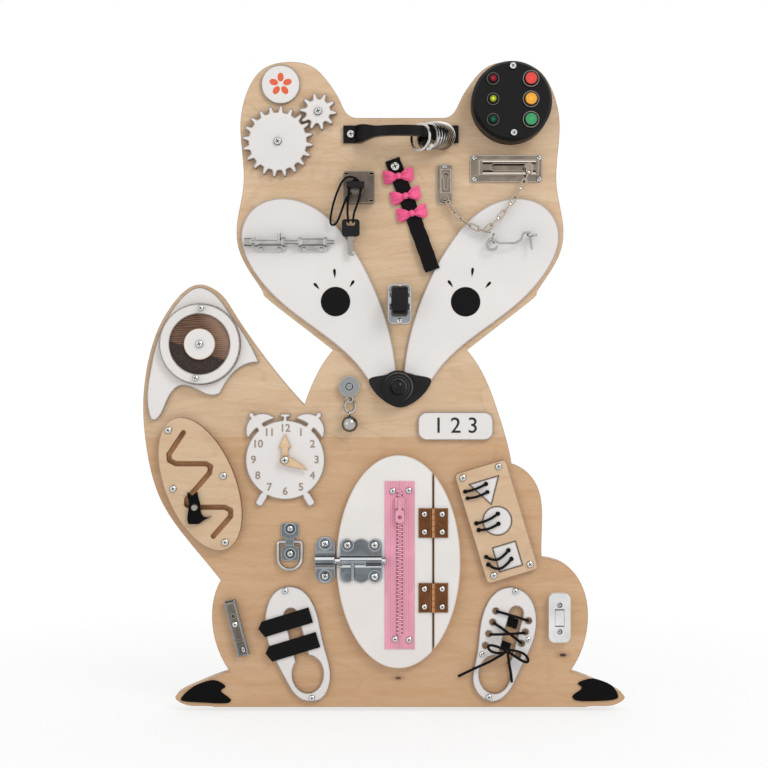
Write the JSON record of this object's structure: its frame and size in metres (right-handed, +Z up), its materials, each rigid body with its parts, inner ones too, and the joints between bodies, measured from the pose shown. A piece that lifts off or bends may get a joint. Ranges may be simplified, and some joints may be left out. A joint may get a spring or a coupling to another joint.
{
  "type": "wooden busy board",
  "caption": "Fox-shaped plywood activity board with gears, latches, bells, a lock, a clock, zip, laces and other toys to turn, slide and fasten.",
  "frame": {"origin": "on the back face, at the board's centre line, level with its bottom edge", "axes": "+X to the viewer's right, +Z up, the toys face -Y"},
  "size_m": [0.4815, 0.06, 0.645],
  "materials": {
    "board_wood": "clear varnished birch plywood with darker edge layers",
    "white_paint": "white lacquered plywood",
    "black_paint": "black lacquer",
    "light_wood": "light plywood",
    "black_plastic": "matte moulded black",
    "red_plastic": "glossy",
    "amber_plastic": "glossy",
    "green_plastic": "glossy",
    "black_steel": "black powder coat",
    "bright_steel": "bright nickel plated",
    "zinc": "zinc plated steel",
    "bronze": "antique bronze",
    "black_cord": "woven elastic cord",
    "black_strap": "hook and loop tape",
    "pink_tape": "woven zip tape",
    "brown_rubber": "ribbed mat",
    "wheel_rubber": "moulded wheel",
    "white_plastic": "white moulded"
  },
  "bodies": {
    "board": {"back_board": "board_wood", "face_plates": "white_paint", "tail_plates": "white_paint", "white_plates": "white_paint", "light_box": "black_plastic", "bow_handle": "black_steel", "lock_case": "zinc", "chain_plates": "bright_steel", "bolt_cases": "bright_steel", "screw_eyes": "bright_steel", "caster_fork": "zinc", "bell_body": "black_steel", "maze_plate": "light_wood", "clock_face": "white_paint", "surface_plates": "zinc", "side_panel": "white_paint", "fixed_hinge_leaves": "bronze", "shapes_plate": "light_wood", "shoe_lace": "black_cord", "switch_case": "white_plastic", "screws": "bright_steel"},
    "big_gear": {"big_gear": "white_paint"},
    "small_gear": {"small_gear": "white_paint"},
    "rings": {"key_rings": "bright_steel"},
    "lock_key": {"lock_key": "bright_steel"},
    "hanging_key": {"spare_key": "black_plastic", "key_cord": "black_cord"},
    "bow_strap": {"bow_strap": "black_strap"},
    "chain_slider": {"chain_slider": "bright_steel"},
    "chain_right": {"chain_right": "bright_steel"},
    "chain_left": {"chain_left": "bright_steel"},
    "bolt": {"bolt_rod": "bright_steel"},
    "hook": {"cabin_hook": "bright_steel"},
    "caster_wheel": {"caster_wheel": "wheel_rubber"},
    "bell_lever": {"bell_lever": "black_steel"},
    "jingle": {"jingle_bell": "bright_steel"},
    "hour_hand": {"hour_hand": "light_wood"},
    "minute_hand": {"minute_hand": "light_wood"},
    "texture_disc": {"texture_disc": "brown_rubber"},
    "maze_cat": {"maze_cat": "black_paint"},
    "d_ring": {"d_ring": "bright_steel"},
    "door": {"door_panel": "white_paint", "door_hinge_leaves": "bronze", "zip_tape": "pink_tape", "latch_case": "zinc"},
    "latch_bolt": {"latch_bolt": "zinc"},
    "zip_slider": {"zip_slider": "pink_tape"},
    "triangle": {"shape_triangle": "white_paint", "triangle_cords": "black_cord"},
    "circle": {"shape_circle": "white_paint", "circle_cords": "black_cord"},
    "square": {"shape_square": "white_paint", "square_cords": "black_cord"},
    "strap_upper": {"strap_upper": "black_strap"},
    "strap_lower": {"strap_lower": "black_strap"},
    "rocker": {"switch_rocker": "white_plastic"},
    "button_red": {"button_red": "red_plastic"},
    "button_amber": {"button_amber": "amber_plastic"},
    "button_green": {"button_green": "green_plastic"},
    "strip_lever": {"strip_lever": "zinc"}
  },
  "joints": [
    {"name": "big_gear_spin", "type": "hinge", "parent": "board", "child": "big_gear", "pos_m": [-0.1219, -0.0183, 0.5647], "axis": [0, -1, 0], "continuous": true},
    {"name": "small_gear_spin", "type": "hinge", "parent": "board", "child": "small_gear", "pos_m": [-0.08162, -0.0183, 0.59462], "axis": [0, -1, 0], "continuous": true},
    {"name": "rings_slide", "type": "hinge", "parent": "board", "child": "rings", "pos_m": [0.0009, 0.00436, 0.5722], "axis": [0, 0, -1], "range_deg": [0, 40]},
    {"name": "key_turn", "type": "hinge", "parent": "board", "child": "lock_key", "pos_m": [-0.044, -0.018, 0.5176], "axis": [0, -1, 0], "range_deg": [0, 90]},
    {"name": "hanging_key_swing", "type": "hinge", "parent": "board", "child": "hanging_key", "pos_m": [-0.044, -0.036, 0.5176], "axis": [0, -1, 0], "range_deg": [-8, 20]},
    {"name": "strap_swing", "type": "hinge", "parent": "board", "child": "bow_strap", "pos_m": [-0.005, -0.018, 0.54], "axis": [0, -1, 0], "range_deg": [-19, 6]},
    {"name": "chain_slider_slide", "type": "slide", "parent": "board", "child": "chain_slider", "axis": [-1, 0, 0], "range_m": [0, 0.034]},
    {"name": "chain_right_swing", "type": "hinge", "parent": "chain_slider", "child": "chain_right", "pos_m": [0.1282, -0.0289, 0.5345], "axis": [0, -1, 0], "range_deg": [-1, 26]},
    {"name": "chain_left_swing", "type": "hinge", "parent": "board", "child": "chain_left", "pos_m": [0.0444, -0.022, 0.5082], "axis": [0, -1, 0], "range_deg": [-22, 1]},
    {"name": "bolt_slide", "type": "slide", "parent": "board", "child": "bolt", "axis": [-1, 0, 0], "range_m": [0, 0.021]},
    {"name": "hook_lift", "type": "hinge", "parent": "board", "child": "hook", "pos_m": [0.0927, -0.03, 0.4633], "axis": [0, -1, 0], "range_deg": [0, 45]},
    {"name": "caster_roll", "type": "hinge", "parent": "board", "child": "caster_wheel", "pos_m": [-0.0005, -0.036, 0.4055], "axis": [1, 0, 0], "continuous": true},
    {"name": "bell_lever_press", "type": "hinge", "parent": "board", "child": "bell_lever", "pos_m": [0.009, -0.0268, 0.32], "axis": [0, -1, 0], "range_deg": [-20, 4], "stiffness_Nm_per_rad": 0.05},
    {"name": "jingle_swing", "type": "hinge", "parent": "board", "child": "jingle", "pos_m": [-0.0501, -0.02335, 0.308], "axis": [0, -1, 0], "range_deg": [-25, 25]},
    {"name": "hour_hand_turn", "type": "hinge", "parent": "board", "child": "hour_hand", "pos_m": [-0.1146, -0.0223, 0.2473], "axis": [0, -1, 0], "continuous": true},
    {"name": "minute_hand_turn", "type": "hinge", "parent": "board", "child": "minute_hand", "pos_m": [-0.1146, -0.0251, 0.2473], "axis": [0, -1, 0], "continuous": true},
    {"name": "texture_disc_turn", "type": "hinge", "parent": "board", "child": "texture_disc", "pos_m": [-0.1993, -0.0223, 0.3627], "axis": [0, -1, 0], "continuous": true},
    {"name": "maze_cat_slide", "type": "slide", "parent": "board", "child": "maze_cat", "axis": [1, 0, 0], "range_m": [0, 0.026]},
    {"name": "d_ring_lift", "type": "hinge", "parent": "board", "child": "d_ring", "pos_m": [-0.11, -0.0214, 0.1657], "axis": [-1, 0, 0], "range_deg": [0, 100]},
    {"name": "door_open", "type": "hinge", "parent": "board", "child": "door", "pos_m": [0.033, -0.0281, 0.1462], "axis": [0, 0, 1], "range_deg": [0, 120]},
    {"name": "latch_slide", "type": "slide", "parent": "door", "child": "latch_bolt", "axis": [-1, 0, 0], "range_m": [-0.01, 0.008]},
    {"name": "zip_slide", "type": "slide", "parent": "door", "child": "zip_slider", "axis": [0, 0, -1], "range_m": [0, 0.12]},
    {"name": "triangle_lift", "type": "slide", "parent": "board", "child": "triangle", "axis": [0, -1, 0], "range_m": [0, 0.012]},
    {"name": "circle_lift", "type": "slide", "parent": "board", "child": "circle", "axis": [0, -1, 0], "range_m": [0, 0.012]},
    {"name": "square_lift", "type": "slide", "parent": "board", "child": "square", "axis": [0, -1, 0], "range_m": [0, 0.012]},
    {"name": "strap_upper_peel", "type": "hinge", "parent": "board", "child": "strap_upper", "pos_m": [-0.089, -0.0223, 0.0929], "axis": [-0.2924, 0, 0.9563], "range_deg": [0, 80]},
    {"name": "strap_lower_peel", "type": "hinge", "parent": "board", "child": "strap_lower", "pos_m": [-0.0818, -0.0223, 0.0684], "axis": [-0.2924, 0, 0.9563], "range_deg": [0, 80]},
    {"name": "rocker_tilt", "type": "hinge", "parent": "board", "child": "rocker", "pos_m": [0.1587, -0.024, 0.0903], "axis": [-1, 0, 0], "range_deg": [0, 12]},
    {"name": "button_red_press", "type": "slide", "parent": "board", "child": "button_red", "axis": [0, 1, 0], "range_m": [0, 0.0025], "stiffness_N_per_m": 400},
    {"name": "button_amber_press", "type": "slide", "parent": "board", "child": "button_amber", "axis": [0, 1, 0], "range_m": [0, 0.0025], "stiffness_N_per_m": 400},
    {"name": "button_green_press", "type": "slide", "parent": "board", "child": "button_green", "axis": [0, 1, 0], "range_m": [0, 0.0025], "stiffness_N_per_m": 400},
    {"name": "strip_lever_swing", "type": "hinge", "parent": "board", "child": "strip_lever", "pos_m": [-0.1594, -0.0226, 0.06624], "axis": [0.9677, 0, 0.2521], "range_deg": [0, 95]}
  ],
  "couplings": [
    {"joint": "small_gear_spin", "follows": "big_gear_spin", "ratio": -2},
    {"joint": "chain_right_swing", "follows": "chain_slider_slide", "rad_per_m": 10.325},
    {"joint": "chain_left_swing", "follows": "chain_slider_slide", "rad_per_m": -8.4771}
  ]
}
